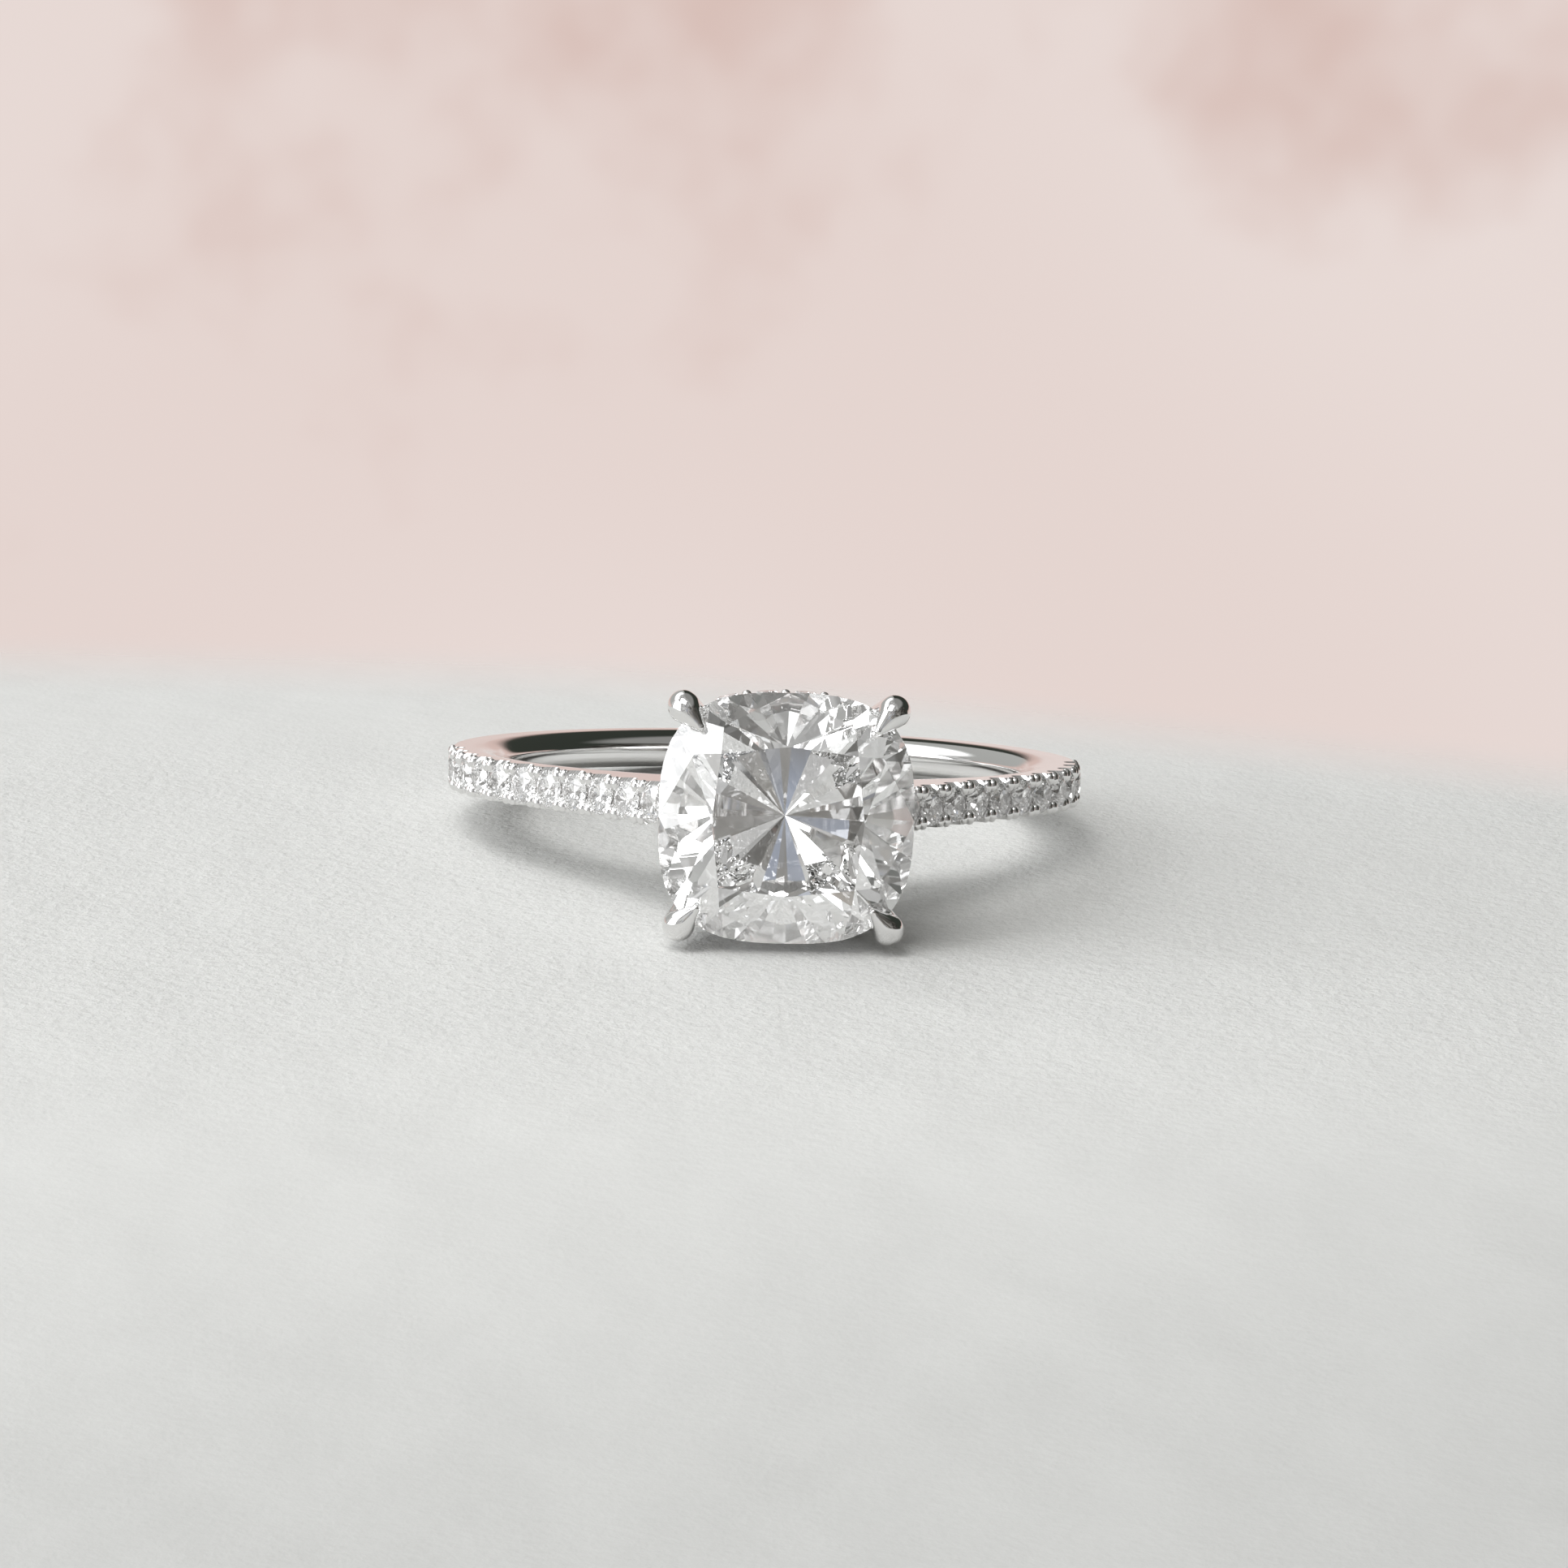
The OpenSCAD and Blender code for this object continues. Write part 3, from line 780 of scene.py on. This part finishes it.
def world():
    w = bpy.data.worlds.new("studio")
    bpy.context.scene.world = w
    w.use_nodes = True
    nt = w.node_tree
    bg = nt.nodes["Background"]
    tc = node(nt, "ShaderNodeTexCoord")
    sep = node(nt, "ShaderNodeSeparateXYZ")
    nt.links.new(tc.outputs["Generated"], sep.inputs["Vector"])

    def step(sock, a, b):
        """0 below a, 1 above b, smooth between."""
        mr = node(nt, "ShaderNodeMapRange", interpolation_type="SMOOTHSTEP")
        mr.inputs["From Min"].default_value = a
        mr.inputs["From Max"].default_value = b
        nt.links.new(sock, mr.inputs["Value"])
        return mr.outputs["Result"]

    def mul(a, b):
        m = node(nt, "ShaderNodeMath", operation="MULTIPLY")
        nt.links.new(a, m.inputs[0])
        nt.links.new(b, m.inputs[1])
        return m.outputs[0]

    def mix(f, a, b):
        m = node(nt, "ShaderNodeMix", data_type="RGBA")
        nt.links.new(f, m.inputs["Factor"])
        for s, v in (("A", a), ("B", b)):
            if isinstance(v, tuple):
                m.inputs[s].default_value = (*v, 1)
            else:
                nt.links.new(v, m.inputs[s])
        return m.outputs["Result"]
    x, y, z = sep.outputs
    ny = node(nt, "ShaderNodeMath", operation="MULTIPLY")
    nt.links.new(y, ny.inputs[0])
    ny.inputs[1].default_value = -1
    azn = node(nt, "ShaderNodeMath", operation="ARCTAN2")
    nt.links.new(x, azn.inputs[0])
    nt.links.new(ny.outputs[0], azn.inputs[1])
    az = azn.outputs[0]     # 0 in front of the ring, positive to the right

    def between(sock, a, b, soft):
        one = node(nt, "ShaderNodeMath", operation="SUBTRACT")
        one.inputs[0].default_value = 1
        nt.links.new(step(sock, b - soft, b + soft), one.inputs[1])
        return mul(step(sock, a - soft, a + soft), one.outputs[0])

    def deg(a):
        return math.radians(a)

    def noise(scale, detail):
        n = node(nt, "ShaderNodeTexNoise")
        n.inputs["Scale"].default_value = scale
        n.inputs["Detail"].default_value = detail
        nt.links.new(tc.outputs["Generated"], n.inputs["Vector"])
        return n
    pink = mix(step(noise(5, 0).outputs["Fac"], 0.3, 0.7), (0.78, 0.665, 0.63), (0.81, 0.715, 0.685))
    lift = node(nt, "ShaderNodeMath", operation="MULTIPLY_ADD")
    nt.links.new(z, lift.inputs[0])
    lift.inputs[1].default_value = 2.2
    nt.links.new(noise(14, 3).outputs["Fac"], lift.inputs[2])
    pink = mix(step(lift.outputs[0], 0.28, 0.62), pink, (0.68, 0.515, 0.47))
    # the room in front: muted, with brighter and darker things in it
    room = noise(7, 2)
    front = mix(step(room.outputs["Fac"], 0.42, 0.6), (0.21, 0.203, 0.19), (0.52, 0.51, 0.495))
    cool = mix(step(noise(11, 1).outputs["Fac"], 0.5, 0.75), front, (0.48, 0.55, 0.70))
    front = mix(step(noise(13, 1).outputs["Fac"], 0.6, 0.72), cool, (0.80, 0.69, 0.57))
    near = mix(step(room.outputs["Fac"], 0.45, 0.6), (0.09, 0.085, 0.077), (0.33, 0.32, 0.30))
    side = mix(step(room.outputs["Fac"], 0.48, 0.62), (0.03, 0.029, 0.025), (0.10, 0.096, 0.088))
    left = mix(step(room.outputs["Fac"], 0.42, 0.6), (0.34, 0.34, 0.335), (0.72, 0.72, 0.715))
    col = mix(step(az, deg(8), deg(26)), front, near)
    col = mix(step(az, deg(50), deg(66)), col, side)
    col = mix(step(az, deg(84), deg(100)), col, (0.036, 0.041, 0.034))
    col = mix(between(az, deg(-118), deg(-14), deg(4)), col, left)
    col = mix(step(az, deg(-114), deg(-122)), col, (0.44, 0.445, 0.43))
    above = mix(step(noise(6, 1).outputs["Fac"], 0.4, 0.62), (0.30, 0.30, 0.295), (0.62, 0.62, 0.61))
    above = mix(step(az, deg(20), deg(80)), above, (0.28, 0.28, 0.27))
    col = mix(step(z, 0.62, 0.8), col, above)
    # high window behind on the left, tall window on the left
    high = mul(between(az, deg(-172), deg(-96), deg(5)), between(z, 0.54, 0.84, 0.05))
    col = mix(high, col, (1.7, 1.72, 1.73))
    win = mul(between(az, deg(-98), deg(-52), deg(3)), between(z, -0.06, 0.72, 0.04))
    col = mix(win, col, (3.9, 3.95, 4.0))
    # the rose coloured backdrop stands low behind the ring
    col = mix(between(az, deg(-112), deg(112), deg(6)), mix(step(z, 0.03, 0.13), pink, col), col)
    nt.links.new(col, bg.inputs["Color"])
    bg.inputs["Strength"].default_value = 1.0


world()
soft_card("top_soft", (0.24, 0.2), (-0.12, -0.16, 0.40), (0, 0, 0), 0.95)


# ------------------------------------------------------------------ camera
def camera():
    D, e, psi, rho, s = 132.0, math.radians(5.0), math.radians(2.58), math.radians(1.6), 38.3
    tx, ty = 941.7, 952.0
    C = D * Vector((-math.sin(psi) * math.cos(e), -math.cos(psi) * math.cos(e), math.sin(e)))
    F = -C.normalized()
    R = F.cross(Vector((0, 0, 1))).normalized()
    U = R.cross(F)
    R2 = R * math.cos(rho) + U * math.sin(rho)
    U2 = -R * math.sin(rho) + U * math.cos(rho)
    A = R2 * ((966 - tx) / s) - U2 * ((966 - ty) / s)
    F2 = (A - C).normalized()
    R3 = (R2 - F2 * R2.dot(F2)).normalized()
    U3 = R3.cross(F2)
    m = Matrix((R3, U3, -F2)).transposed().to_4x4()
    m.translation = C
    cam = bpy.data.cameras.new("cam")
    cam.sensor_width = 36
    cam.lens = s * D / 1932 * 36
    cam.clip_start = 0.005
    cam.clip_end = 5
    ob = bpy.data.objects.new("cam", cam)
    w = LAY @ m
    w.translation = w.translation * 0.001
    ob.matrix_world = w
    bpy.context.scene.collection.objects.link(ob)
    bpy.context.scene.camera = ob


camera()

sc = bpy.context.scene
sc.view_settings.view_transform = "Standard"
sc.view_settings.look = "None"
sc.cycles.use_denoising = True
sc.cycles.max_bounces = 48
sc.cycles.transmission_bounces = 48
sc.cycles.glossy_bounces = 48
sc.cycles.diffuse_bounces = 4
sc.cycles.sample_clamp_indirect = 8
sc.cycles.caustics_refractive = True
sc.cycles.caustics_reflective = True
